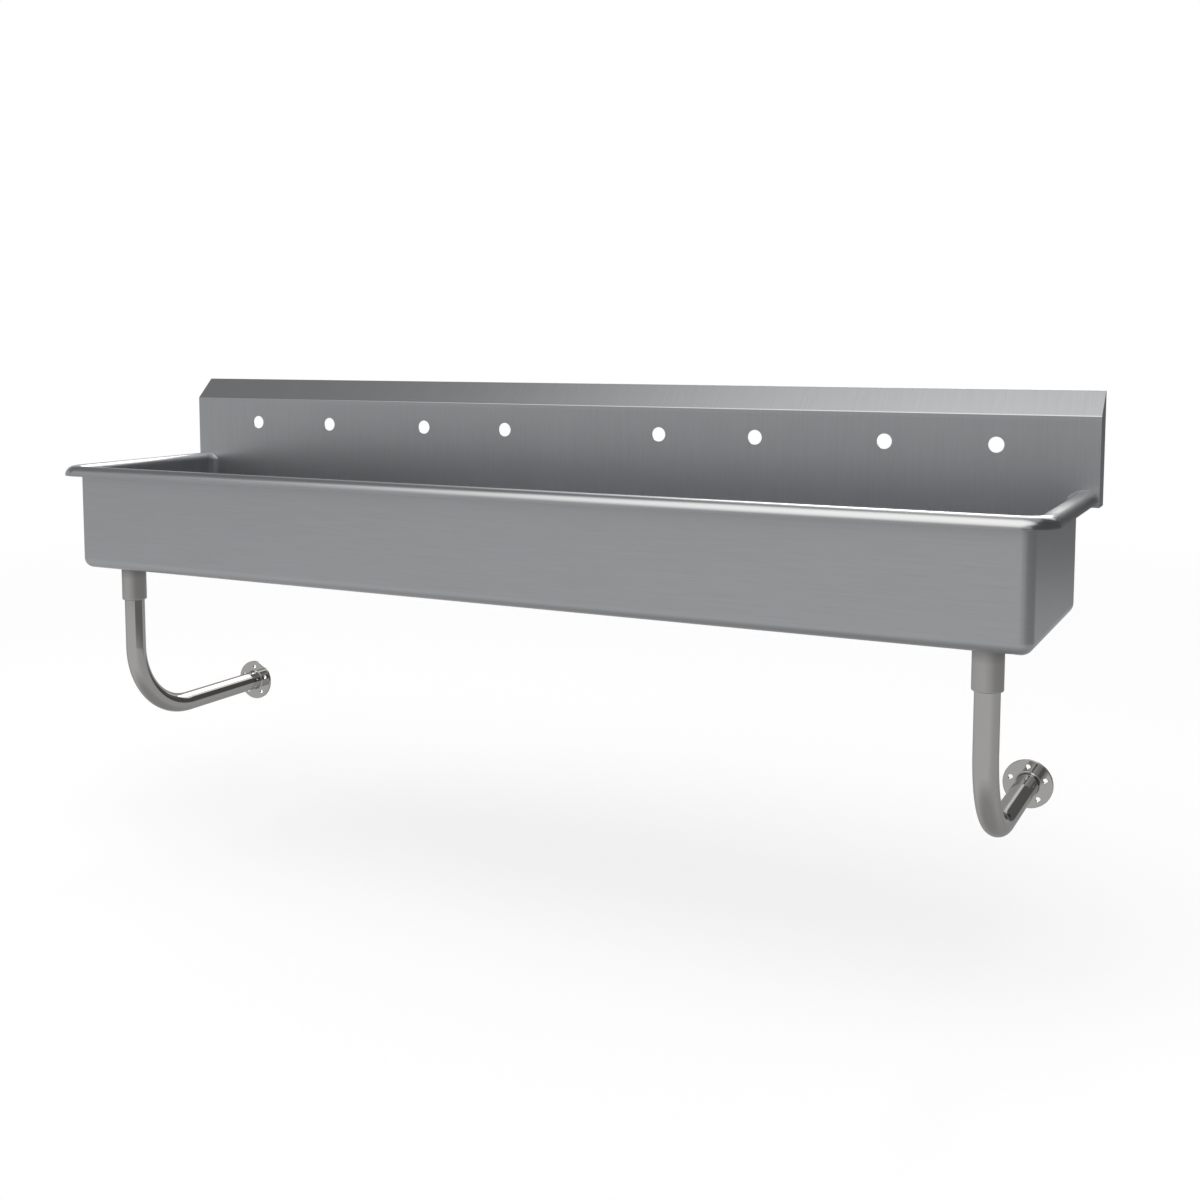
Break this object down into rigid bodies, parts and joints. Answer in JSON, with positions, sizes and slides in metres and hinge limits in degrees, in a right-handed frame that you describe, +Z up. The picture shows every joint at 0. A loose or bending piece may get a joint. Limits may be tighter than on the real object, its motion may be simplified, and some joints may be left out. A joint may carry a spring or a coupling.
{
  "type": "trough sink",
  "caption": "Long wall-hung stainless trough sink with a rolled rim, a sloped splash back with tap holes, and bent tube legs that screw to the wall.",
  "frame": {"origin": "in the wall plane, at the middle of the wall cleat's row of screw holes", "axes": "+X along the sink to the right as seen from the room, +Y into the wall, +Z up"},
  "size_m": [2.032, 0.4974, 0.7677],
  "materials": {
    "brushed_steel": "brushed satin stainless",
    "polished_steel": "polished stainless tube",
    "black_rubber": "matt black",
    "black_steel": "black oxide"
  },
  "bodies": {
    "wall_cleat": {"wall_cleat": "brushed_steel"},
    "sink": {"bowl_trough": "brushed_steel", "bowl_end_left": "brushed_steel", "bowl_end_right": "brushed_steel", "rolled_rim": "brushed_steel", "splash_panel": "brushed_steel", "splash_end_left": "brushed_steel", "splash_end_right": "brushed_steel", "leg_pad_left": "brushed_steel", "leg_pad_right": "brushed_steel", "leg_socket_left": "polished_steel", "leg_socket_right": "polished_steel", "socket_screw_left": "black_steel", "socket_screw_right": "black_steel", "drain_body": "polished_steel", "drain_gasket": "black_rubber", "drain_washer": "brushed_steel", "drain_locknut": "polished_steel"},
    "left_leg": {"leg_tube_left": "polished_steel", "wall_flange_left": "polished_steel"},
    "right_leg": {"leg_tube_right": "polished_steel", "wall_flange_right": "polished_steel"},
    "strainer": {"strainer_basket": "polished_steel"},
    "stopper": {"strainer_post": "polished_steel", "strainer_knob": "polished_steel", "strainer_stopper": "black_rubber"}
  },
  "joints": [
    {"name": "hang_lift", "type": "slide", "parent": "wall_cleat", "child": "sink", "axis": [0, 0, 1], "range_m": [0, 0.02]},
    {"name": "left_leg_height", "type": "slide", "parent": "sink", "child": "left_leg", "axis": [0, 0, 1], "range_m": [-0.02, 0.005]},
    {"name": "right_leg_height", "type": "slide", "parent": "sink", "child": "right_leg", "axis": [0, 0, 1], "range_m": [-0.02, 0.005]},
    {"name": "basket_lift", "type": "slide", "parent": "sink", "child": "strainer", "axis": [0, 0, 1], "range_m": [0, 0.25]},
    {"name": "stopper_push", "type": "slide", "parent": "strainer", "child": "stopper", "axis": [0, 0, 1], "range_m": [-0.006, 0]}
  ]
}
